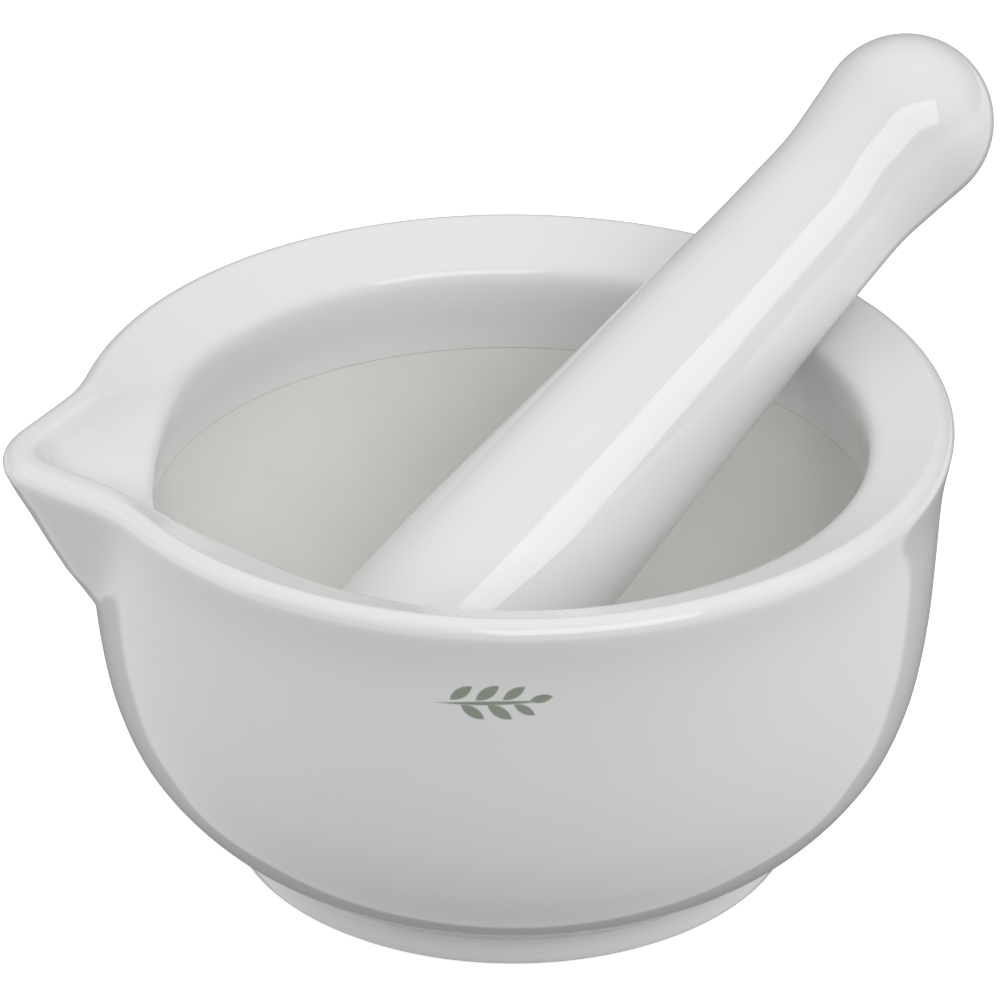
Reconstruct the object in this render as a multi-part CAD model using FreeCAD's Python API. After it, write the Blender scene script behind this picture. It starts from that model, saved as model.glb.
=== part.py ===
import FreeCAD, Part
import math
import os

from FreeCAD import Vector, Rotation, Placement

# Porcelain mortar and pestle.
# Millimetres. +Z up, origin on the table plane under the middle of the part.
# The spout points along -X, so the XZ plane is the mirror plane of the mortar.
# Every shape is drawn around the mortar's axis, then moved to its place.

os.makedirs("parts", exist_ok=True)

AXIS_X = -2.55          # where the mortar's axis stands

# ---- mortar: rim ----
RIM_R = 75.45           # outermost radius of the rounded lip
RIM_TOP = 81.9          # highest level of the rim
LIP_ROUND = 2.8         # radius of the outer edge of the lip
LIP_TOP_R = 72.65       # radius where the top starts to fall inwards
ROLL_ROUND = 4.0        # radius of the inner edge of the rim
NECK_R = 60.8           # narrowest inner radius, just under the rim
NECK_Z = 74.2           # level of that narrowest place

# ---- mortar: outer wall, (radius, height) from the foot up to the lip ----
WALL = [
    (52.0, 6.9), (56.2, 9.9), (60.3, 13.7), (64.2, 18.3), (67.4, 23.4),
    (69.7, 29.4), (71.3, 36.0), (72.4, 44.0), (73.0, 52.0), (73.4, 60.0),
    (73.75, 67.0), (74.3, 72.5), (75.1, 77.0), (RIM_R, 79.4), (RIM_R, RIM_TOP),
]

# ---- mortar: foot ring ----
FOOT_R = 50.3
FOOT_EDGE = 1.4         # rounding of the ring's lower edges
FOOT_SIDE = 5.2         # top of the upright side of the ring
FOOT_FLARE = 0.4        # the ring leans out this much towards its top
RECESS_R = 41.5
RECESS_DEPTH = 3.0

# ---- mortar: inside, (radius, height) from under the rim to the floor ----
BOWL = [
    (NECK_R, NECK_Z), (61.5, 69.5), (62.7, 64.5), (63.2, 59.5), (62.9, 51.0),
    (61.4, 42.0), (58.2, 33.5), (52.8, 26.2), (44.6, 20.2), (34.0, 15.9),
    (20.0, 13.2), (0.0, 12.2),
]

# ---- mortar: spout ----
NOSE_TIP = 88.05        # distance of the spout tip from the mortar axis
NOSE_ROUND = 12.9       # radius of the tip seen from above
NOSE_ANGLE = 48.0       # degrees, each flank against the spout's centre line
SPOUT_ROOT = 58.0       # the spout solid reaches this far into the wall
# underside of the spout: (height, how far the tip has moved out, tip radius)
CHIN = [
    (49.0, 70.9, 8.9), (54.0, 75.0, 9.6), (59.4, 78.5, 10.4),
    (65.0, 81.4, 11.1), (71.0, 84.3, 12.0), (75.0, 86.4, 12.5),
    (78.6, NOSE_TIP, NOSE_ROUND), (RIM_TOP, NOSE_TIP, NOSE_ROUND),
]
BLEND = 6.0             # concave round between spout and rim
SEAM_BAND = 3.5         # a seam of the spout lies this near the rim radius

# ---- mortar: pouring channel ----
# floor of the channel: (height, how far the end has moved out, end radius)
CHANNEL = [
    (62.0, 50.0, 14.0), (66.0, 57.5, 13.0), (70.0, 66.0, 11.5),
    (73.0, 72.5, 10.0), (75.5, 77.0, 8.8), (78.0, 79.9, 8.0),
    (80.0, 81.2, 7.6), (82.2, 82.3, 7.5),
]
CHANNEL_ROOT = 40.0     # the hollow starts this far from the mortar axis
EDGE_SOFT = 2.5         # rounding of the channel's edges

# ---- pestle ----
# (distance from the centre of the round head, radius)
SHAFT = [
    (0.0, 19.0), (12.0, 19.0), (24.0, 18.7), (40.0, 17.85), (64.0, 16.35),
    (82.0, 15.3), (99.0, 14.25), (107.0, 13.95), (113.0, 13.75),
    (119.0, 13.75), (125.0, 14.4), (130.0, 15.05), (134.6, 15.55),
]
HEAD_R = 19.0
KNOB_R = 15.55
KNOB_AT = 134.6

FIT = 1e-3              # two places closer than this count as one
CUT_OVER = 5.0          # cutting solids reach this far above the rim

# ---- how the pestle stands in the mortar ----
LEAN_AZIMUTH = 24.42    # degrees from +X, seen from above
LEAN_RISE = 35.58       # degrees, pestle axis above the table plane
CROSS_AT = 50.85        # height where the pestle axis crosses the mortar axis
HEAD_BELOW = 29.82      # head centre below that crossing, along the pestle


def pt(radius, height):
    """A point of a profile in the XZ plane."""
    return Vector(radius, 0, height)


def smooth(points, start=None, end=None):
    """A curve through profile points, with optional end directions."""
    curve = Part.BSplineCurve()
    if start is None:
        curve.interpolate(Points=[pt(*p) for p in points])
    else:
        curve.interpolate(
            Points=[pt(*p) for p in points],
            InitialTangent=start,
            FinalTangent=end,
        )
    return curve.toShape()


def line(a, b):
    """A straight edge between two profile points."""
    return Part.makeLine(pt(*a), pt(*b))


def turned(edges):
    """The solid swept by a closed profile about the Z axis."""
    face = Part.Face(Part.Wire(Part.__sortEdges__(edges)))
    return face.revolve(Vector(0, 0, 0), Vector(0, 0, 1), 360)


def outer_body():
    """Foot, wall and lip as one full solid, still with a square rim."""
    foot_top = (FOOT_R + FOOT_FLARE, FOOT_SIDE)
    return turned([
        line((0, 0), (FOOT_R, 0)),
        line((FOOT_R, 0), foot_top),
        line(foot_top, WALL[0]),
        smooth(WALL),
        line(WALL[-1], (0, RIM_TOP)),
        line((0, RIM_TOP), (0, 0)),
    ])


def beak(height, tip, round_r, root=SPOUT_ROOT):
    """One level section of the spout: rounded tip and two flanks."""
    half = math.radians(NOSE_ANGLE)
    centre = tip - round_r
    # where the tip arc runs over into the flank
    touch_x = centre + round_r * math.sin(half)
    touch_y = round_r * math.cos(half)
    root_y = touch_y + (touch_x - root) * math.tan(half)
    right = Vector(-touch_x, touch_y, height)
    left = Vector(-touch_x, -touch_y, height)
    root_right = Vector(-root, root_y, height)
    root_left = Vector(-root, -root_y, height)
    front = Vector(-tip, 0, height)
    return Part.Wire([
        Part.makeLine(root_right, right),
        Part.Arc(right, front, left).toShape(),
        Part.makeLine(left, root_left),
        Part.makeLine(root_left, root_right),
    ])


def spout_body():
    """The spout as a full wedge that swells upwards out of the wall."""
    wires = [beak(*level) for level in CHIN]
    return Part.makeLoft(wires, True, False)


def roll_start():
    """Slope of the top face and the point where the inner round begins."""
    across = LIP_TOP_R - NECK_R - ROLL_ROUND
    down = RIM_TOP - NECK_Z
    slope = math.atan2(down, across)
    slope -= math.asin(ROLL_ROUND / math.hypot(across, down))
    radius = NECK_R + ROLL_ROUND * (1 - math.sin(slope))
    return slope, (radius, NECK_Z + ROLL_ROUND * math.cos(slope))


def bowl_void():
    """Everything removed from inside: bowl, rim roll and sloping top."""
    slope, start = roll_start()
    turn = (math.pi / 2 + slope) / 2
    middle = (
        NECK_R + ROLL_ROUND * (1 - math.sin(turn)),
        NECK_Z + ROLL_ROUND * math.cos(turn),
    )
    above = RIM_TOP + CUT_OVER
    return turned([
        smooth(BOWL, Vector(0, 0, -1), Vector(-1, 0, 0)),
        Part.Arc(pt(NECK_R, NECK_Z), pt(*middle), pt(*start)).toShape(),
        line(start, (LIP_TOP_R, RIM_TOP)),
        line((LIP_TOP_R, RIM_TOP), (LIP_TOP_R, above)),
        line((LIP_TOP_R, above), (0, above)),
        line((0, above), BOWL[-1]),
    ])


def channel_void():
    """The hollow that guides the pour out of the bowl."""
    wires = [beak(*level, root=CHANNEL_ROOT) for level in CHANNEL]
    return Part.makeLoft(wires, True, False)


def mid(edge):
    """The point halfway along an edge."""
    return edge.valueAt((edge.FirstParameter + edge.LastParameter) / 2)


def spout_seams(shape):
    """Edges where the spout's flanks meet the wall of the bowl."""
    found = []
    for edge in shape.Edges:
        box = edge.BoundBox
        place = mid(edge)
        on_wall = abs(math.hypot(place.x, place.y) - RIM_R) < SEAM_BAND
        if on_wall and box.XMax < -SPOUT_ROOT and box.ZLength > FOOT_EDGE:
            found.append(edge)
    return found


def level_edges(shape, height):
    """Edges that lie wholly in one level plane."""
    return [
        edge for edge in shape.Edges
        if abs(edge.BoundBox.ZMin - height) < FIT
        and abs(edge.BoundBox.ZMax - height) < FIT
    ]


def cut_edges(shape, tool):
    """Edges left by a cutting tool, without the tool's own edges."""
    skin = tool.Shells[0]
    own = Part.Compound(tool.Edges)
    found = []
    for edge in shape.Edges:
        point = Part.Vertex(mid(edge))
        if skin.distToShape(point)[0] > FIT:
            continue
        if own.distToShape(point)[0] > FIT:
            found.append(edge)
    return found


def foot_recess():
    """The hollow under the mortar, inside the foot ring."""
    narrow = RECESS_R - RECESS_DEPTH
    return Part.makeCone(RECESS_R, narrow, RECESS_DEPTH)


def mortar():
    """The whole mortar: one piece of porcelain."""
    body = outer_body().fuse(spout_body()).removeSplitter()
    body = body.makeFillet(BLEND, spout_seams(body))
    body = body.makeFillet(LIP_ROUND, level_edges(body, RIM_TOP))
    body = body.cut(bowl_void())
    channel = channel_void()
    body = body.cut(channel)
    body = body.makeFillet(EDGE_SOFT, cut_edges(body, channel))
    body = body.cut(foot_recess())
    body = body.makeFillet(FOOT_EDGE, level_edges(body, 0))
    return body.Solids[0]


def pestle_upright():
    """The pestle standing on its round head, head centre at the origin."""
    low = Part.Arc(
        pt(0, -HEAD_R),
        pt(HEAD_R * math.sqrt(0.5), -HEAD_R * math.sqrt(0.5)),
        pt(HEAD_R, 0),
    ).toShape()
    high = Part.Arc(
        pt(KNOB_R, KNOB_AT),
        pt(KNOB_R * math.sqrt(0.5), KNOB_AT + KNOB_R * math.sqrt(0.5)),
        pt(0, KNOB_AT + KNOB_R),
    ).toShape()
    profile = [(radius, height) for height, radius in SHAFT]
    return turned([
        low,
        smooth(profile, Vector(0, 0, 1), Vector(0, 0, 1)),
        high,
        line((0, KNOB_AT + KNOB_R), (0, -HEAD_R)),
    ])


def lean_direction():
    """Unit vector from the pestle's head to its knob."""
    azimuth = math.radians(LEAN_AZIMUTH)
    rise = math.radians(LEAN_RISE)
    level = math.cos(rise)
    return Vector(
        level * math.cos(azimuth), level * math.sin(azimuth), math.sin(rise)
    )


def head_centre():
    """Where the centre of the pestle's round head sits."""
    return Vector(0, 0, CROSS_AT) - lean_direction() * HEAD_BELOW


def pestle():
    """The pestle leaning on the rim, its head resting in the bowl."""
    tilt = Rotation(Vector(0, 0, 1), lean_direction())
    solid = pestle_upright()
    solid.Placement = Placement(head_centre(), tilt)
    return solid


def placed(shape):
    """The shape moved to its place in the part."""
    return shape.translated(Vector(AXIS_X, 0, 0))


placed(mortar()).exportStep("parts/mortar.step")
placed(pestle()).exportStep("parts/pestle.step")
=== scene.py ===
"""Looks of a glazed porcelain mortar and pestle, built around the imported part.

Lengths in the fields are millimetres, as in the part; meshes are made in metres.
"""

import logging
import math
from collections.abc import Callable
from dataclasses import dataclass, field
from enum import Enum

import bpy
import numpy as np
from mathutils import Matrix, Vector

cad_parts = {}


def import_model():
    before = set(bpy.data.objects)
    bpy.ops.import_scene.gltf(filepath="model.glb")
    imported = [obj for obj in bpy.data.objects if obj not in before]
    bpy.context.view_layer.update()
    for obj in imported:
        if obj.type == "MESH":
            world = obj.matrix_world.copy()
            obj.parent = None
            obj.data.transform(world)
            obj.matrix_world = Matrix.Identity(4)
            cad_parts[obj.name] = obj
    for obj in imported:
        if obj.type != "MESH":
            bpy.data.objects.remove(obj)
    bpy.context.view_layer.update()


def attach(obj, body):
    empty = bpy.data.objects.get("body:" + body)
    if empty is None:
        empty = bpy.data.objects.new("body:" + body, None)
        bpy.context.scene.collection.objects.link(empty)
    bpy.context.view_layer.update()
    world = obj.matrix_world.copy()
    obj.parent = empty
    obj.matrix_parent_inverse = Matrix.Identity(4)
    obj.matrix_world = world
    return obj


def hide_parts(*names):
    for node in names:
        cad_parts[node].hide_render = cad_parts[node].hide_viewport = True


MM = 0.001
# where the mortar's own axis stands in the frame
AXIS = Vector((-2.55, 0.0, 0.0)) * MM
Socket = bpy.types.NodeSocket
Value = float | tuple | bpy.types.NodeSocket
BareZone = Callable[[bpy.types.NodeTree, Socket], Socket]
# points closer than this, in metres, become one
MERGE = 2e-6
# steps that a curve is read in before its points are spread evenly
FINE_STEPS = 600
LOG = logging.getLogger("mortar_and_pestle")


class Body(Enum):
    """The bodies of the part that pieces ride on."""

    MORTAR = "mortar"
    PESTLE = "pestle"


class Slot(Enum):
    """The record's material slots."""

    MORTAR = "mortar_porcelain"
    PESTLE = "pestle_porcelain"


def linear(hex_colour: str) -> tuple[float, float, float, float]:
    """Turns an sRGB hex colour into linear RGBA.

    Args:
        hex_colour: Six hex digits, such as "e8e9e6".

    Returns:
        Linear red, green and blue, with full alpha.
    """
    values = [int(hex_colour[i:i + 2], 16) / 255 for i in (0, 2, 4)]
    rgb = [
        v / 12.92 if v <= 0.04045 else ((v + 0.055) / 1.055) ** 2.4
        for v in values
    ]
    return (*rgb, 1.0)


def add_node(tree: bpy.types.NodeTree, kind: str, inputs: dict, **settings) -> bpy.types.Node:
    """Adds one shader node.

    Args:
        tree: The node tree that gets it.
        kind: The node's type, such as "ShaderNodeTexNoise".
        inputs: Socket name or index to a value, or to an output socket to link.
        **settings: The node's own properties.

    Returns:
        The new node.
    """
    node = tree.nodes.new(kind)
    for name, value in settings.items():
        setattr(node, name, value)
    for name, value in inputs.items():
        if isinstance(value, bpy.types.NodeSocket):
            tree.links.new(value, node.inputs[name])
        else:
            node.inputs[name].default_value = value
    return node


def new_material(name: str) -> tuple[bpy.types.Material, bpy.types.NodeTree]:
    """Starts an empty node material.

    Args:
        name: The finish's name.

    Returns:
        The material and its cleared node tree.
    """
    material = bpy.data.materials.new(name)
    material.use_nodes = True
    material.node_tree.nodes.clear()
    return material, material.node_tree


def per_metre(size_mm: float) -> float:
    """Texture scale that makes one feature size_mm across."""
    return 1.0 / (size_mm * MM)


def math_node(tree: bpy.types.NodeTree, kind: str, first: Value, second: Value) -> Socket:
    """Adds one sum, product or comparison of two values."""
    return add_node(
        tree, "ShaderNodeMath", {0: first, 1: second}, operation=kind,
    ).outputs[0]


def along(tree: bpy.types.NodeTree, place: Socket, way: tuple) -> Socket:
    """How far each point lies along a direction."""
    return add_node(
        tree, "ShaderNodeVectorMath", {0: place, 1: way}, operation="DOT_PRODUCT",
    ).outputs["Value"]


def ramp(tree: bpy.types.NodeTree, value: Socket, start: tuple, end: tuple) -> Socket:
    """Maps a value from one range to another, clamped at both ends."""
    return add_node(tree, "ShaderNodeMapRange", {
        "Value": value, "From Min": start[0], "From Max": start[1],
        "To Min": end[0], "To Max": end[1],
    }).outputs["Result"]


def mix_colour(tree: bpy.types.NodeTree, share: Value, first: Value, second: Value) -> Socket:
    """Mixes two colours."""
    return add_node(
        tree, "ShaderNodeMix", {0: share, 6: first, 7: second}, data_type="RGBA",
    ).outputs[2]


@dataclass(frozen=True)
class GlazedPorcelain:
    """Hard-paste porcelain, slip cast, dipped in clear feldspar glaze and fired.

    The glaze is a smooth glass skin: sharp, bright reflections over a dense white
    body, with a very faint ripple where it flowed and a few pinprick specks.
    """

    white: str = "e9e9e8"
    cool: str = "e3e4e4"
    speck: str = "cfcec8"
    roughness: float = 0.05
    roughness_spread: float = 0.05
    ior: float = 1.5
    ripple_mm: float = 16.0
    ripple_depth_mm: float = 0.02
    peel_mm: float = 2.6
    peel_depth_mm: float = 0.0016
    cloud_mm: float = 38.0
    speck_pitch_mm: float = 16.0
    speck_size: float = 0.014
    speck_core: float = 0.4
    speck_strength: float = 0.5

    def shader(self, tree: bpy.types.NodeTree, place: Socket, print_on: "Print | None") -> Socket:
        """Adds the glaze to a material.

        Args:
            tree: The material's nodes.
            place: Object coordinates.
            print_on: A print under the glaze, if the piece has one.

        Returns:
            The shader's output.
        """
        clouds = add_node(tree, "ShaderNodeTexNoise", {
            "Vector": place, "Scale": per_metre(self.cloud_mm), "Detail": 3.0,
        }).outputs["Fac"]
        colour = mix_colour(tree, clouds, linear(self.white), linear(self.cool))
        cells = add_node(tree, "ShaderNodeTexVoronoi", {
            "Vector": place, "Scale": per_metre(self.speck_pitch_mm),
        })
        dots = ramp(
            tree, cells.outputs["Distance"],
            (self.speck_size, self.speck_size * self.speck_core),
            (0.0, self.speck_strength),
        )
        colour = mix_colour(tree, dots, colour, linear(self.speck))
        if print_on is not None:
            colour = print_on.over(tree, place, colour)
        ripple = add_node(tree, "ShaderNodeTexNoise", {
            "Vector": place, "Scale": per_metre(self.ripple_mm), "Detail": 1.0,
        })
        peel = add_node(tree, "ShaderNodeTexNoise", {
            "Vector": place, "Scale": per_metre(self.peel_mm), "Detail": 1.0,
        })
        wave = add_node(tree, "ShaderNodeBump", {
            "Height": ripple.outputs["Fac"], "Strength": 1.0,
            "Distance": self.ripple_depth_mm * MM,
        })
        skin = add_node(tree, "ShaderNodeBump", {
            "Height": peel.outputs["Fac"], "Strength": 1.0,
            "Distance": self.peel_depth_mm * MM,
            "Normal": wave.outputs["Normal"],
        })
        gloss = ramp(
            tree, clouds, (0.0, 1.0),
            (self.roughness, self.roughness + self.roughness_spread),
        )
        return add_node(tree, "ShaderNodeBsdfPrincipled", {
            "Base Color": colour, "Roughness": gloss,
            "IOR": self.ior, "Normal": skin.outputs["Normal"],
        }).outputs[0]


@dataclass(frozen=True)
class BiscuitPorcelain:
    """The same porcelain left without glaze where it grinds and where it stands.

    It is matt and slightly warmer, with a fine sanded grit and faint grey
    rubbing marks from grinding.
    """

    body: str = "e9e9e7"
    rubbed: str = "e0e0dd"
    roughness: float = 0.62
    roughness_spread: float = 0.16
    ior: float = 1.5
    grit_mm: float = 0.5
    grit_depth_mm: float = 0.02
    grit_strength: float = 0.6
    rub_mm: float = 14.0

    def shader(self, tree: bpy.types.NodeTree, place: Socket) -> Socket:
        """Adds the bare porcelain to a material.

        Args:
            tree: The material's nodes.
            place: Object coordinates.

        Returns:
            The shader's output.
        """
        rubs = add_node(tree, "ShaderNodeTexNoise", {
            "Vector": place, "Scale": per_metre(self.rub_mm),
            "Detail": 5.0, "Roughness": 0.6,
        }).outputs["Fac"]
        grit = add_node(tree, "ShaderNodeTexNoise", {
            "Vector": place, "Scale": per_metre(self.grit_mm), "Detail": 2.0,
        })
        bump = add_node(tree, "ShaderNodeBump", {
            "Height": grit.outputs["Fac"], "Strength": self.grit_strength,
            "Distance": self.grit_depth_mm * MM,
        })
        sheen = ramp(
            tree, rubs, (0.0, 1.0),
            (self.roughness, self.roughness + self.roughness_spread),
        )
        return add_node(tree, "ShaderNodeBsdfPrincipled", {
            "Base Color": mix_colour(tree, rubs, linear(self.body), linear(self.rubbed)),
            "Roughness": sheen, "IOR": self.ior,
            "Normal": bump.outputs["Normal"],
        }).outputs[0]


@dataclass(frozen=True)
class Leaf:
    """One leaf of the printed sprig; lengths in millimetres.

    Two circles of the same size overlap in the leaf's pointed outline.
    """

    across: float
    up: float
    tilt: float
    length: float
    width: float

    def circles(self) -> tuple[float, list[tuple[float, float]]]:
        """Radius and the two centres of the circles that bound the leaf."""
        half, thick = self.length / 2, self.width / 2
        radius = (half ** 2 + thick ** 2) / (2 * thick)
        off = radius - thick
        turn = math.radians(self.tilt + 90)
        step = (off * math.cos(turn), off * math.sin(turn))
        return radius, [
            (self.across + step[0], self.up + step[1]),
            (self.across - step[0], self.up - step[1]),
        ]


@dataclass(frozen=True)
class Print:
    """A small sprig of leaves, stamped in chrome green under the glaze.

    The colour lies in the body, so the glaze's reflections run over it unbroken.
    """

    colour: str = "8a9685"
    azimuth: float = -104.45
    height: float = 66.6
    skin_from: float = 68.0
    edge: float = 0.12
    leaves: tuple = (
        Leaf(0.0, 0.0, 3.0, 17.5, 0.75),
        Leaf(-4.9, 1.75, 38.0, 4.6, 1.9),
        Leaf(-0.6, 1.95, 38.0, 4.8, 2.0),
        Leaf(3.7, 2.0, 36.0, 4.4, 1.8),
        Leaf(-3.0, -1.85, -34.0, 4.6, 1.9),
        Leaf(1.4, -1.7, -34.0, 4.8, 2.0),
        Leaf(5.4, -1.2, -32.0, 4.0, 1.6),
        Leaf(8.1, 0.9, 12.0, 3.8, 1.6),
    )

    def over(self, tree: bpy.types.NodeTree, place: Socket, colour: Socket) -> Socket:
        """Prints the sprig over a colour.

        Args:
            tree: The material's nodes.
            place: Object coordinates.
            colour: The colour under the print.

        Returns:
            The printed colour.
        """
        turn = math.radians(self.azimuth)
        across = along(tree, place, (-math.sin(turn), math.cos(turn), 0.0))
        up = along(tree, place, (0.0, 0.0, 1.0))
        spot = add_node(tree, "ShaderNodeCombineXYZ", {"X": across, "Y": up}).outputs[0]
        best = None
        for leaf in self.leaves:
            radius, centres = leaf.circles()
            ends = [
                add_node(tree, "ShaderNodeVectorMath", {
                    0: spot, 1: (x * MM, (y + self.height) * MM, 0.0),
                }, operation="DISTANCE").outputs["Value"]
                for x, y in centres
            ]
            far = math_node(tree, "MAXIMUM", ends[0], ends[1])
            inside = math_node(tree, "SUBTRACT", radius * MM, far)
            best = inside if best is None else math_node(tree, "MAXIMUM", best, inside)
        ink = ramp(tree, best, (-self.edge * MM, self.edge * MM), (0.0, 1.0))
        out = along(tree, place, (math.cos(turn), math.sin(turn), 0.0))
        front = math_node(tree, "GREATER_THAN", out, self.skin_from * MM)
        ink = math_node(tree, "MULTIPLY", ink, front)
        return mix_colour(tree, ink, colour, linear(self.colour))


@dataclass(frozen=True)
class Porcelain:
    """One fired piece: glazed all over but for a bare zone, with a glaze edge.

    Where the glaze was wiped back it ends in a thin, slightly darker line.
    """

    name: str
    edge: str = "b4b3ad"
    edge_mm: float = 0.35
    edge_strength: float = 0.75
    edge_roughness: float = 0.3
    wander_mm: float = 0.25
    wander_pitch_mm: float = 18.0
    fade_mm: float = 0.1
    glaze: GlazedPorcelain = GlazedPorcelain()
    biscuit: BiscuitPorcelain = BiscuitPorcelain()

    def build(self, bare: BareZone, print_on: "Print | None" = None) -> bpy.types.Material:
        """Makes the material.

        Args:
            bare: Called with the tree and the object coordinates; returns how
                deep each point lies inside the bare zone, in metres.
            print_on: A print under the glaze, if the piece has one.

        Returns:
            The finished material.
        """
        material, tree = new_material(self.name)
        spot = add_node(tree, "ShaderNodeTexCoord", {}).outputs["Object"]
        # measured from the mortar's axis
        place = add_node(tree, "ShaderNodeVectorMath", {
            0: spot, 1: tuple(-AXIS),
        }, operation="ADD").outputs[0]
        wander = add_node(tree, "ShaderNodeTexNoise", {
            "Vector": place, "Scale": per_metre(self.wander_pitch_mm), "Detail": 2.0,
        }).outputs["Fac"]
        wave = math_node(tree, "MULTIPLY", wander, self.wander_mm * MM)
        depth = math_node(tree, "ADD", bare(tree, place), wave)
        uncovered = ramp(tree, depth, (0.0, self.fade_mm * MM), (0.0, 1.0))
        body = add_node(tree, "ShaderNodeMixShader", {
            0: uncovered,
            1: self.glaze.shader(tree, place, print_on),
            2: self.biscuit.shader(tree, place),
        }).outputs[0]
        away = math_node(tree, "ABSOLUTE", depth, 0.0)
        rim = ramp(tree, away, (self.edge_mm / 2 * MM, 0.0), (0.0, self.edge_strength))
        lip = add_node(tree, "ShaderNodeBsdfPrincipled", {
            "Base Color": linear(self.edge), "Roughness": self.edge_roughness,
        }).outputs[0]
        whole = add_node(tree, "ShaderNodeMixShader", {0: rim, 1: body, 2: lip})
        add_node(tree, "ShaderNodeOutputMaterial", {"Surface": whole.outputs[0]})
        return material


@dataclass(frozen=True)
class StudioPaper:
    """Matt white background paper under and behind the object."""

    name: str = "studio_paper"
    colour: str = "f6f6f6"
    fibre_mm: float = 2.0
    roughness: tuple = (0.85, 0.95)
    backlight: float = 0.6

    def build(self) -> bpy.types.Material:
        """Makes the material.

        Returns:
            The finished material.
        """
        material, tree = new_material(self.name)
        place = add_node(tree, "ShaderNodeTexCoord", {}).outputs["Object"]
        fibre = add_node(tree, "ShaderNodeTexNoise", {
            "Vector": place, "Scale": per_metre(self.fibre_mm), "Detail": 2.0,
        })
        rough = add_node(tree, "ShaderNodeMapRange", {
            "Value": fibre.outputs["Fac"],
            "To Min": self.roughness[0], "To Max": self.roughness[1],
        })
        shader = add_node(tree, "ShaderNodeBsdfPrincipled", {
            "Base Color": linear(self.colour),
            "Roughness": rough.outputs["Result"],
            "Emission Color": linear(self.colour),
            "Emission Strength": self.backlight,
        })
        add_node(tree, "ShaderNodeOutputMaterial", {"Surface": shader.outputs[0]})
        return material


def smooth_max(a: np.ndarray, b: np.ndarray, blend: float) -> np.ndarray:
    """The larger of two surfaces, with a soft round where they cross.

    Args:
        a: Radii of the first surface.
        b: Radii of the second surface.
        blend: How far from the crossing the round reaches, in millimetres.

    Returns:
        The blended radii.
    """
    near = np.maximum(blend - np.abs(a - b), 0.0) / blend
    return np.maximum(a, b) + near ** 3 * blend / 6.0


def lathe(name: str, profile: list[tuple[float, float]], steps: int) -> bpy.types.Object:
    """Draws a profile point by point and spins it about the Z axis.

    Args:
        name: The new object's name.
        profile: (radius, height) in millimetres, from one pole to the other.
        steps: How many columns the spin makes.

    Returns:
        The closed, smooth-shaded object.
    """
    bpy.ops.object.select_all(action="DESELECT")
    bpy.ops.mesh.primitive_plane_add(size=MM)
    piece = bpy.context.object
    piece.name = piece.data.name = name
    bpy.ops.object.mode_set(mode="EDIT")
    bpy.ops.mesh.merge(type="CENTER")
    radius, height = profile[0]
    bpy.ops.transform.translate(value=(radius * MM, 0, height * MM))
    for after in profile[1:]:
        step = ((after[0] - radius) * MM, 0, (after[1] - height) * MM)
        bpy.ops.mesh.extrude_vertices_move(TRANSFORM_OT_translate={"value": step})
        radius, height = after
    bpy.ops.mesh.select_all(action="SELECT")
    bpy.ops.mesh.spin(
        steps=steps, angle=math.tau, center=(0, 0, 0), axis=(0, 0, 1),
    )
    bpy.ops.mesh.select_all(action="SELECT")
    bpy.ops.mesh.remove_doubles(threshold=MERGE)
    bpy.ops.mesh.normals_make_consistent(inside=False)
    bpy.ops.object.mode_set(mode="OBJECT")
    bpy.ops.object.shade_smooth()
    return piece


def even_curve(points: np.ndarray, count: int, soften: float = 0.0) -> np.ndarray:
    """Points spaced evenly along a smoothed polyline.

    Args:
        points: The polyline, one (radius, height) row per point.
        count: How many points to return.
        soften: Radius of the smoothing along the line, in millimetres.

    Returns:
        An array of count rows; both ends stay where they were.
    """
    steps = np.hypot(*np.diff(points, axis=0).T)
    run = np.concatenate([[0.0], np.cumsum(steps)])
    fine = np.linspace(0.0, run[-1], FINE_STEPS)
    line = np.stack([np.interp(fine, run, points[:, k]) for k in (0, 1)], axis=1)
    if soften > 0.0:
        pitch = fine[1]
        reach = int(3 * soften / pitch)
        offsets = np.arange(-reach, reach + 1) * pitch
        weight = np.exp(-0.5 * (offsets / soften) ** 2)
        weight /= weight.sum()
        head = 2 * line[0] - line[reach:0:-1]
        tail = 2 * line[-1] - line[-2:-reach - 2:-1]
        padded = np.concatenate([head, line, tail])
        line = np.stack([
            np.convolve(padded[:, k], weight, mode="valid") for k in (0, 1)
        ], axis=1)
    pick = np.linspace(0, len(line) - 1, count)
    index = np.arange(len(line))
    return np.stack([np.interp(pick, index, line[:, k]) for k in (0, 1)], axis=1)


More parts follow.
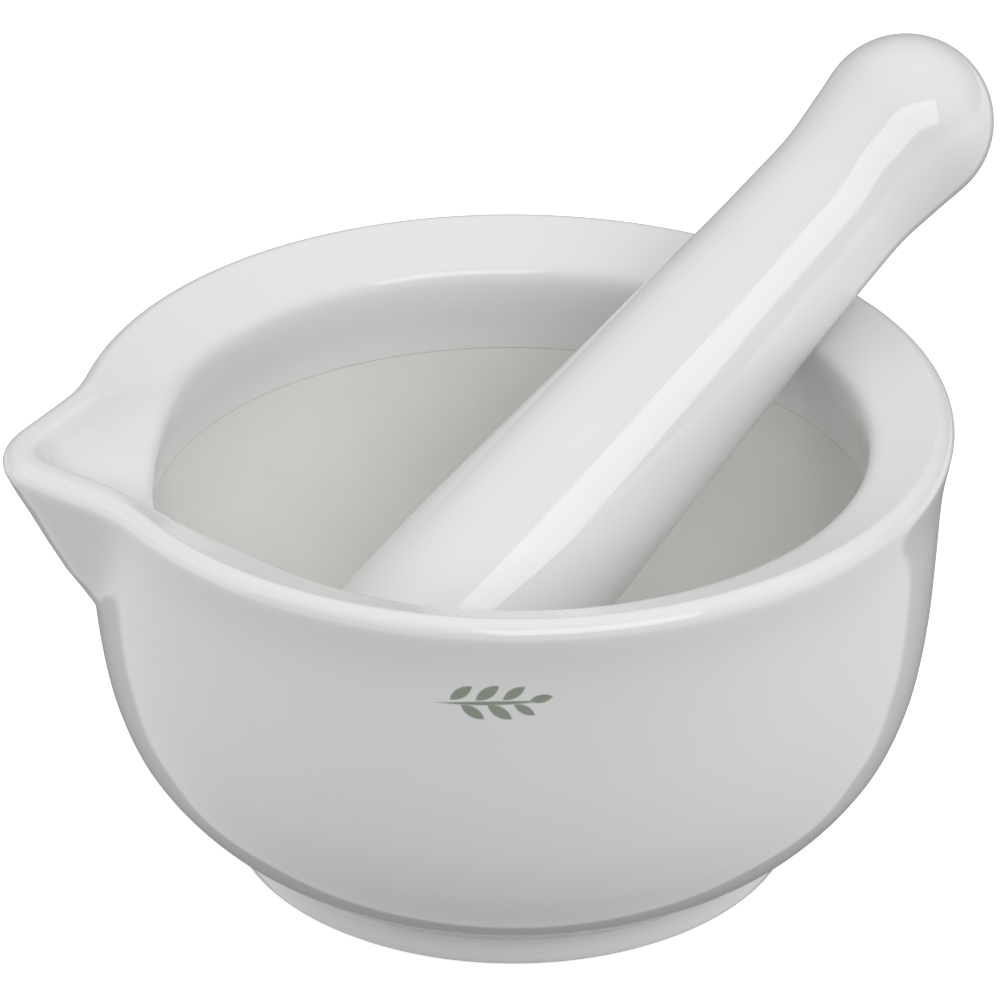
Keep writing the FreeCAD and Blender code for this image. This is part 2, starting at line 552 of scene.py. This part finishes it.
def smooth_profile(knots: tuple, count: int, start: tuple, end: tuple) -> np.ndarray:
    """Runs a smooth curve through a few profile points.

    Args:
        knots: (radius, height) points.
        count: How many points to return.
        start: Direction of the curve at its first point.
        end: Direction of the curve at its last point.

    Returns:
        The curve as an array of (radius, height) rows.
    """
    points = np.array(knots, float)
    run = np.concatenate([[0.0], np.cumsum(np.hypot(*np.diff(points, axis=0).T))])
    size = len(points)
    matrix = np.zeros((size, size))
    known = np.zeros((size, 2))
    matrix[0, 0] = matrix[-1, -1] = 1.0
    known[0], known[-1] = start, end
    gap = np.diff(run)
    for k in range(1, size - 1):
        matrix[k, k - 1] = gap[k]
        matrix[k, k] = 2 * (gap[k - 1] + gap[k])
        matrix[k, k + 1] = gap[k - 1]
        known[k] = 3 * (
            gap[k] * (points[k] - points[k - 1]) / gap[k - 1]
            + gap[k - 1] * (points[k + 1] - points[k]) / gap[k]
        )
    slopes = np.linalg.solve(matrix, known)
    where = np.linspace(0.0, run[-1], count)
    span = np.clip(np.searchsorted(run, where, side="right") - 1, 0, size - 2)
    width = gap[span][:, None]
    part = ((where - run[span]) / gap[span])[:, None]
    return (
        (2 * part ** 3 - 3 * part ** 2 + 1) * points[span]
        + (part ** 3 - 2 * part ** 2 + part) * width * slopes[span]
        + (3 * part ** 2 - 2 * part ** 3) * points[span + 1]
        + (part ** 3 - part ** 2) * width * slopes[span + 1]
    )


@dataclass
class Spout:
    """The pouring spout: a rounded wedge outside and a channel inside.

    Level sections are given as (height, how far the tip is out, tip radius).
    """

    half_angle: float = 48.0
    chin: tuple = (
        (46.0, 66.0, 8.5), (49.0, 70.9, 8.9), (54.0, 75.0, 9.6),
        (59.4, 78.5, 10.4), (65.0, 81.4, 11.1), (71.0, 84.3, 12.0),
        (75.0, 86.4, 12.5), (78.6, 88.05, 12.9), (82.0, 88.05, 12.9),
    )
    channel: tuple = (
        (56.0, 38.0, 14.0), (62.0, 50.0, 14.0), (66.0, 57.5, 13.0),
        (70.0, 66.0, 11.5), (73.0, 72.5, 10.0), (75.5, 77.0, 8.8),
        (78.0, 79.9, 8.0), (80.0, 81.2, 7.6), (82.2, 82.3, 7.5),
        (86.0, 84.2, 7.5),
    )
    blend_outside: float = 3.5
    blend_inside: float = 2.2
    fade: float = 40.0
    least_across: float = 0.5

    def reach(self, levels: tuple, angle: np.ndarray, height: np.ndarray) -> np.ndarray:
        """Radius of the wedge seen from the mortar's axis.

        Args:
            levels: The level sections, chin or channel.
            angle: Angle away from the spout's centre line, in radians.
            height: Height of each point, in millimetres.

        Returns:
            The radii, zero where the wedge isn't reached.
        """
        table = np.array(levels)
        tip = np.interp(height, table[:, 0], table[:, 1])
        round_r = np.interp(height, table[:, 0], table[:, 2])
        half = math.radians(self.half_angle)
        centre = tip - round_r
        turn = np.abs(angle)
        touch_x = centre + round_r * math.sin(half)
        touch_y = round_r * math.cos(half)
        across = np.sin(turn) + np.cos(turn) * math.tan(half)
        flank = (touch_y + touch_x * math.tan(half)) / np.maximum(across, self.least_across)
        inside = round_r ** 2 - (centre * np.sin(turn)) ** 2
        nose = centre * np.cos(turn) + np.sqrt(np.maximum(inside, 0.0))
        radius = np.where(turn < np.arctan2(touch_y, touch_x), nose, flank)
        # past its closest point each flank runs on inside the wall
        past = np.maximum(turn - (math.pi / 2 - half), 0.0)
        closest = (touch_y + touch_x * math.tan(half)) * math.cos(half)
        return np.where(past > 0.0, closest - self.fade * past ** 2, radius)


@dataclass
class Mortar:
    """The mortar: foot ring, wall, rim with its spout, and bowl."""

    columns: int = 320
    crowding: float = 0.7
    rim_top: float = 81.9
    rim_radius: float = 75.45
    lip_round: float = 2.8
    top_slope: float = 23.1
    under: tuple = (
        (0.0, 3.0), (4.0, 3.0), (12.0, 3.0), (22.0, 3.0), (32.0, 3.0),
        (37.4, 3.0), (38.4, 2.9), (39.6, 2.0), (40.9, 0.7), (41.6, 0.2),
        (42.4, 0.0), (43.2, 0.0), (45.6, 0.0), (48.0, 0.0), (48.8, 0.0),
        (49.4, 0.12), (49.95, 0.55), (50.3, 1.2), (50.42, 2.2),
        (50.55, 3.4), (50.65, 4.4), (50.8, 5.1), (51.2, 5.9), (52.0, 6.9),
    )
    wall: tuple = (
        (52.0, 6.9), (54.1, 8.35), (56.2, 9.9), (58.3, 11.75), (60.3, 13.7),
        (62.3, 15.9), (64.2, 18.3), (65.9, 20.8), (67.4, 23.4), (68.65, 26.3),
        (69.7, 29.4), (70.6, 32.6), (71.3, 36.0), (71.9, 39.9), (72.4, 44.0),
    )
    shoulder: tuple = (
        (72.4, 44.0), (73.0, 52.0), (73.4, 60.0), (73.75, 67.0),
        (74.3, 72.5), (75.1, 77.0), (75.45, 79.1), (75.45, 86.0),
    )
    neck: tuple = (
        (61.4, 42.0), (62.9, 51.0), (63.2, 59.5), (62.7, 64.5),
        (61.5, 69.5), (60.8, 74.2), (60.8, 86.0),
    )
    bowl: tuple = (
        (63.2, 59.5), (62.9, 51.0), (61.4, 42.0), (58.2, 33.5), (52.8, 26.2),
        (44.6, 20.2), (34.0, 15.9), (20.0, 13.2), (0.0, 12.2),
    )
    glaze_level: float = 59.7
    rim_soften: float = 1.9
    spout_soften: float = 1.0
    edge_soften: float = 2.2
    crisp_to: float = 16.0
    spout_reach: float = 60.0
    soften_above: float = 46.0
    bare_from: float = 11.0
    bare_radius: float = 66.5
    bare_low_radius: float = 40.55
    bare_slant: float = 0.65
    foot_bare: float = 0.35
    foot_inner: float = 41.2
    wall_start: tuple = (0.84, 0.55)
    plain_to: float = 44.0
    floor_from: float = 52.0
    curve_points: int = 900
    low_points: int = 34
    wall_points: int = 46
    lip_points: int = 13
    cut_points: int = 1200
    rim_points: int = 74
    floor_points: int = 40
    lean_step: float = 0.01
    blur_reach: int = 9
    spout: Spout = field(default_factory=Spout)

    def wall_curve(self) -> np.ndarray:
        """The outer wall from the foot to above the lip, finely sampled."""
        knots = self.wall + self.shoulder[1:]
        return smooth_profile(knots, self.curve_points, self.wall_start, (0.0, 1.0))

    def bowl_curve(self) -> np.ndarray:
        """The inside from the floor's centre to above the rim, finely sampled."""
        knots = tuple(reversed(self.bowl)) + self.neck[3:]
        return smooth_profile(knots, self.curve_points, (1.0, 0.0), (0.0, 1.0))

    def outside(self, angle: np.ndarray, height: np.ndarray) -> np.ndarray:
        """Outer radius of wall and spout at an angle from the spout."""
        curve = self.wall_curve()
        plain = np.interp(height, curve[:, 1], curve[:, 0])
        chin = self.spout.reach(self.spout.chin, angle, height)
        return smooth_max(plain, chin, self.spout.blend_outside)

    def inside(self, angle: np.ndarray, height: np.ndarray) -> np.ndarray:
        """Inner radius of bowl and channel at an angle from the spout."""
        curve = self.bowl_curve()
        plain = np.interp(height, curve[:, 1], curve[:, 0])
        hollow = self.spout.reach(self.spout.channel, angle, height)
        return smooth_max(plain, hollow, self.spout.blend_inside)

    def column(self, angle: float) -> np.ndarray:
        """One upright cut through the mortar, from under the foot to the bowl.

        Args:
            angle: Angle away from the spout's centre line, in radians.

        Returns:
            (radius, height) rows, always the same number of them.
        """
        curve = self.wall_curve()
        low = curve[curve[:, 1] <= self.plain_to]
        lower = even_curve(low, self.low_points)
        lip_start = self.rim_top - self.lip_round
        rise = np.linspace(self.plain_to, lip_start, self.wall_points)
        wall = np.stack([self.outside(np.full(rise.size, angle), rise), rise], axis=1)
        step = self.lean_step
        edge = self.outside(
            np.array([angle - step, angle, angle + step]), np.full(3, lip_start),
        )
        lean = (edge[2] - edge[0]) / (2 * step * edge[1])
        stretch = math.sqrt(1.0 + lean ** 2)
        turn = np.linspace(0.0, math.pi / 2, self.lip_points)[1:]
        lip = np.stack([
            edge[1] - self.lip_round * stretch * (1 - np.cos(turn)),
            self.rim_top - self.lip_round * (1 - np.sin(turn)),
        ], axis=1)
        fall = math.tan(math.radians(self.top_slope))
        depth = np.linspace(self.rim_top, self.floor_from, self.cut_points)
        inner = self.inside(np.full(depth.size, angle), depth)
        crest = self.rim_radius - self.lip_round
        top = crest - (self.rim_top - depth) / fall
        meet = int(np.argmax(inner >= top))
        flat = (min(lip[-1, 0], max(crest, float(inner[0]))), self.rim_top)
        slope = np.stack([top[1:meet], depth[1:meet]], axis=1)
        inner_part = np.stack([inner[meet:], depth[meet:]], axis=1)
        corner = np.vstack([lip[-1:], np.array([flat]), slope, inner_part])
        span = self.spout_reach - self.crisp_to
        reach = (abs(math.degrees(angle)) - self.crisp_to) / span
        share = min(max(reach, 0.0), 1.0)
        soft = self.spout_soften + (self.rim_soften - self.spout_soften) * share
        rim = even_curve(corner, self.rim_points, soften=soft)
        bowl = self.bowl_curve()[::-1]
        floor = bowl[bowl[:, 1] < self.floor_from]
        floor[-1, 0] = 0.0
        rest = even_curve(np.vstack([rim[-1:], floor]), self.floor_points)
        rest[-1, 0] = 0.0
        return np.vstack([
            np.array(self.under), lower[1:], wall[1:], lip, rim[1:], rest[1:],
        ])

    def soften_across(self, cuts: np.ndarray, bearings: np.ndarray) -> np.ndarray:
        """Rounds the spout's edges that run outwards, from cut to cut.

        Args:
            cuts: The upright cuts, one after another around the mortar.
            bearings: Angle of each cut away from the spout, in radians.

        Returns:
            The same cuts, softened near the spout and above the wall's middle.
        """
        offsets = np.arange(-self.blur_reach, self.blur_reach + 1)
        weight = np.exp(-0.5 * (offsets / self.edge_soften) ** 2)
        weight /= weight.sum()
        soft = sum(w * np.roll(cuts, int(k), axis=0) for k, w in zip(offsets, weight))
        near = np.abs(bearings) < math.radians(self.spout_reach)
        high = cuts[..., 1] > self.soften_above
        share = (near[:, None] & high)[..., None]
        return np.where(share, soft, cuts)

    def build(self) -> bpy.types.Object:
        """Turns the mortar on the lathe, then draws the spout out of its rim.

        Returns:
            The finished mesh object.
        """
        plain = self.column(math.pi)
        piece = lathe("mortar_porcelain_body", [tuple(p) for p in plain], self.columns)
        mesh = piece.data
        flat = np.zeros(len(mesh.vertices) * 3)
        mesh.vertices.foreach_get("co", flat)
        spots = flat.reshape(-1, 3) / MM
        radius = np.hypot(spots[:, 0], spots[:, 1])
        ring = np.argmin(
            (radius[:, None] - plain[None, :, 0]) ** 2
            + (spots[:, 2][:, None] - plain[None, :, 1]) ** 2, axis=1,
        )
        turn = np.arctan2(spots[:, 1], spots[:, 0])
        step = math.tau / self.columns
        index = np.round(turn / step).astype(int) % self.columns
        away = np.arange(self.columns) * step
        away = np.where(away > math.pi, away - math.tau, away)
        warped = away - self.crowding * np.sin(away)
        cuts = np.stack([self.column(float(a)) for a in warped])
        cuts = self.soften_across(cuts, warped)
        place = cuts[index, ring]
        # the spout points along -X
        bearing = math.pi - warped[index]
        moved = np.stack([
            place[:, 0] * np.cos(bearing),
            place[:, 0] * np.sin(bearing),
            place[:, 1],
        ], axis=1) * MM
        mesh.vertices.foreach_set("co", moved.ravel())
        mesh.update()
        bpy.ops.object.mode_set(mode="EDIT")
        bpy.ops.mesh.select_all(action="SELECT")
        bpy.ops.mesh.normals_make_consistent(inside=False)
        bpy.ops.object.mode_set(mode="OBJECT")
        mesh.transform(Matrix.Translation(AXIS))
        LOG.info("mortar: %d faces", len(mesh.polygons))
        return piece

    def bare(self, tree: bpy.types.NodeTree, place: Socket) -> Socket:
        """How deep a point lies in the bare bowl or under the bare foot ring."""
        height = along(tree, place, (0.0, 0.0, 1.0))
        flat = add_node(tree, "ShaderNodeVectorMath", {
            0: place, 1: (1.0, 1.0, 0.0),
        }, operation="MULTIPLY").outputs[0]
        out = add_node(
            tree, "ShaderNodeVectorMath", {0: flat}, operation="LENGTH",
        ).outputs["Value"]
        below = math_node(tree, "SUBTRACT", self.glaze_level * MM, height)
        above = math_node(tree, "SUBTRACT", height, self.bare_from * MM)
        # the limit runs up inside the wall, between the bowl and the outside
        slant = math_node(tree, "MULTIPLY", height, self.bare_slant)
        slant = math_node(tree, "ADD", slant, self.bare_low_radius * MM)
        limit = math_node(tree, "MINIMUM", slant, self.bare_radius * MM)
        within = math_node(tree, "SUBTRACT", limit, out)
        bowl = math_node(tree, "MINIMUM", math_node(tree, "MINIMUM", below, above), within)
        low = math_node(tree, "SUBTRACT", self.foot_bare * MM, height)
        ring = math_node(tree, "SUBTRACT", out, self.foot_inner * MM)
        foot = math_node(tree, "MINIMUM", low, ring)
        return math_node(tree, "MAXIMUM", bowl, foot)

    def dress(self, piece: bpy.types.Object) -> None:
        """Gives the mortar its glaze, its print and its bare zones."""
        piece.data.materials.clear()
        finish = Porcelain("mortar_glazed_porcelain")
        piece.data.materials.append(finish.build(self.bare, Print()))


@dataclass
class Pestle:
    """The pestle: round grinding head, tapering shaft and knob handle."""

    columns: int = 144
    shaft: tuple = (
        (0.0, 19.0), (12.0, 19.0), (24.0, 18.7), (40.0, 17.85), (64.0, 16.35),
        (82.0, 15.3), (99.0, 14.25), (107.0, 13.95), (113.0, 13.75),
        (119.0, 13.75), (125.0, 14.4), (130.0, 15.05), (134.6, 15.55),
    )
    head_radius: float = 19.0
    knob_radius: float = 15.55
    knob_at: float = 134.6
    glaze_from: float = 0.0
    azimuth: float = 24.42
    rise: float = 35.58
    head: tuple = (-22.0831, -10.0266, 33.4996)
    dome_points: int = 30
    shaft_points: int = 120

    def profile(self) -> list[tuple[float, float]]:
        """The pestle's outline, from under the head to the top of the knob."""
        quarter = np.linspace(0.0, math.pi / 2, self.dome_points)
        low = [
            (self.head_radius * math.sin(a), -self.head_radius * math.cos(a))
            for a in quarter
        ]
        knots = tuple((radius, height) for height, radius in self.shaft)
        curve = smooth_profile(knots, self.shaft_points, (0.0, 1.0), (0.0, 1.0))
        high = [
            (self.knob_radius * math.cos(a), self.knob_at + self.knob_radius * math.sin(a))
            for a in quarter
        ]
        return low + [tuple(p) for p in curve[1:]] + high[1:]

    def placement(self) -> Matrix:
        """Where the pestle leans, from its own upright position."""
        level = math.cos(math.radians(self.rise))
        turn = math.radians(self.azimuth)
        lean = Vector((
            level * math.cos(turn), level * math.sin(turn),
            math.sin(math.radians(self.rise)),
        ))
        tilt = Vector((0, 0, 1)).rotation_difference(lean).to_matrix().to_4x4()
        return Matrix.Translation(Vector(self.head) * MM) @ tilt

    def bare(self, tree: bpy.types.NodeTree, place: Socket) -> Socket:
        """How far a point lies below the edge of the pestle's glaze."""
        lean = self.placement().to_3x3() @ Vector((0, 0, 1))
        up = along(tree, place, tuple(lean))
        edge = lean.dot(Vector(self.head) * MM) + self.glaze_from * MM
        return math_node(tree, "SUBTRACT", edge, up)

    def build(self) -> bpy.types.Object:
        """Turns, dresses and places the pestle.

        Returns:
            The finished mesh object.
        """
        piece = lathe("pestle_porcelain_body", self.profile(), self.columns)
        piece.data.materials.clear()
        finish = Porcelain("pestle_glazed_porcelain")
        piece.data.materials.append(finish.build(self.bare))
        piece.data.transform(Matrix.Translation(AXIS) @ self.placement())
        LOG.info("pestle: %d faces", len(piece.data.polygons))
        return piece


@dataclass
class Studio:
    """Pale floor, soft lights and the camera."""

    floor_size: float = 6.0
    floor_level: float = -0.0001
    camera_place: tuple = (-0.17939, -0.86243, 0.55442)
    camera_aim: tuple = (-0.002282, 0.000469, 0.063141)
    camera_roll: float = 0.186
    lens: float = 210.1
    sensor: float = 36.0
    far: float = 20.0
    side_light: float = 0.22
    top_light: float = 0.84
    low_light: float = 1.0
    floor_light: float = 0.02
    floor_sides: float = 1.05
    upper_range: tuple = (0.25, 0.8)
    across: tuple = (0.980, -0.199, 0.0)
    across_range: tuple = (0.3, 0.85)
    dark_patch: float = 0.3
    behind: tuple = (0.176, 0.855, -0.487)
    behind_range: tuple = (0.79, 0.82)
    box_azimuth: float = -81.25
    box_rise: float = 35.0
    box_away: float = 1.7
    box_size: tuple = (1.5, 0.95)
    box_light: float = 2.8
    box_aim: float = 0.06
    panels: tuple = (("left_panel", 172.0, 1.0), ("right_panel", -22.0, 0.4))
    panel_size: tuple = (0.9, 1.0)
    panel_away: float = 1.1
    panel_height: float = 0.35
    panel_aim: float = 0.05

    def floor(self) -> None:
        """Lays the paper floor, seen by the camera but not by the glaze."""
        bpy.ops.object.select_all(action="DESELECT")
        bpy.ops.mesh.primitive_plane_add(
            size=self.floor_size, location=(0, 0, self.floor_level),
        )
        sheet = bpy.context.object
        sheet.name = "floor"
        sheet.data.transform(sheet.matrix_world)
        sheet.matrix_world = Matrix.Identity(4)
        sheet.data.materials.append(StudioPaper().build())
        sheet.visible_glossy = False
        sheet.visible_diffuse = False

    def camera(self) -> None:
        """Sets up the camera, placed from the mortar's axis."""
        data = bpy.data.cameras.new("camera")
        data.lens = self.lens
        data.sensor_width = self.sensor
        data.clip_end = self.far
        eye = bpy.data.objects.new("camera", data)
        bpy.context.scene.collection.objects.link(eye)
        place = Vector(self.camera_place) + AXIS
        aim = Vector(self.camera_aim) + AXIS
        look = (aim - place).to_track_quat("-Z", "Y").to_matrix().to_4x4()
        roll = Matrix.Rotation(math.radians(self.camera_roll), 4, "Z")
        eye.matrix_world = Matrix.Translation(place) @ look @ roll
        bpy.context.scene.camera = eye

    def lamp(self, name: str, place: tuple, aim: tuple, size: tuple, light: float) -> None:
        """Adds one soft rectangular light.

        Args:
            name: The light's name.
            place: Where it hangs, in metres.
            aim: The point it faces.
            size: Width and height, in metres.
            light: How bright its face is.
        """
        data = bpy.data.lights.new(name, "AREA")
        data.shape = "RECTANGLE"
        data.size, data.size_y = size
        data.energy = math.pi * light * size[0] * size[1]
        lamp = bpy.data.objects.new(name, data)
        bpy.context.scene.collection.objects.link(lamp)
        turn = (Vector(aim) - Vector(place)).to_track_quat("-Z", "Y")
        lamp.matrix_world = Matrix.Translation(place) @ turn.to_matrix().to_4x4()

    def sky(self) -> None:
        """Surrounds the set: bright overhead, dimmer at the sides.

        The glaze shows a darker patch straight behind the object, so its
        outline stays readable against the white background.
        """
        world = bpy.data.worlds.new("studio")
        bpy.context.scene.world = world
        world.use_nodes = True
        tree = world.node_tree
        tree.nodes.clear()
        way = add_node(tree, "ShaderNodeTexCoord", {}).outputs["Generated"]
        height = along(tree, way, (0.0, 0.0, 1.0))
        upper = ramp(tree, height, self.upper_range, (self.side_light, self.top_light))
        behind = along(tree, way, self.behind)
        lower = ramp(tree, behind, self.behind_range, (self.low_light, self.dark_patch))
        path = add_node(tree, "ShaderNodeLightPath", {})
        across = math_node(tree, "ABSOLUTE", along(tree, way, self.across), 0.0)
        bounce = ramp(tree, across, self.across_range, (self.floor_light, self.floor_sides))
        seen = add_node(tree, "ShaderNodeMix", {
            0: path.outputs["Is Glossy Ray"], 2: bounce, 3: lower,
        }).outputs[0]
        over = math_node(tree, "GREATER_THAN", height, 0.0)
        level = add_node(tree, "ShaderNodeMix", {
            0: over, 2: seen, 3: upper,
        }).outputs[0]
        room = add_node(tree, "ShaderNodeBackground", {"Color": level})
        white = add_node(tree, "ShaderNodeBackground", {"Color": (1, 1, 1, 1)})
        mix = add_node(tree, "ShaderNodeMixShader", {
            0: path.outputs["Is Camera Ray"],
            1: room.outputs[0], 2: white.outputs[0],
        })
        add_node(tree, "ShaderNodeOutputWorld", {"Surface": mix.outputs[0]})

    def softbox(self) -> None:
        """Hangs the one large softbox in front of and above the object."""
        turn, lift = math.radians(self.box_azimuth), math.radians(self.box_rise)
        place = self.box_away * Vector((
            math.cos(lift) * math.cos(turn),
            math.cos(lift) * math.sin(turn),
            math.sin(lift),
        ))
        aim = Vector((0, 0, self.box_aim))
        self.lamp("softbox", tuple(place + aim), tuple(aim), self.box_size, self.box_light)

    def side_panels(self) -> None:
        """Stands one soft panel on each side of the set."""
        for name, turn, light in self.panels:
            side = math.radians(turn)
            way = Vector((math.cos(side), math.sin(side), 0.0))
            place = way * self.panel_away + Vector((0, 0, self.panel_height))
            self.lamp(name, tuple(place), (0, 0, self.panel_aim), self.panel_size, light)

    def build(self) -> None:
        """Builds the whole studio."""
        self.floor()
        self.camera()
        self.sky()
        self.softbox()
        self.side_panels()
        view = bpy.context.scene.view_settings
        view.view_transform = "Standard"
        view.look = "None"


def main() -> None:
    """Builds every piece in order."""
    logging.basicConfig(level=logging.INFO)
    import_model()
    mortar = Mortar()
    bowl = mortar.build()
    mortar.dress(bowl)
    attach(bowl, Body.MORTAR.value)
    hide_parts("mortar")

    grinder = Pestle().build()
    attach(grinder, Body.PESTLE.value)
    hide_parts("pestle")

    Studio().build()


if __name__ == "__main__":
    main()
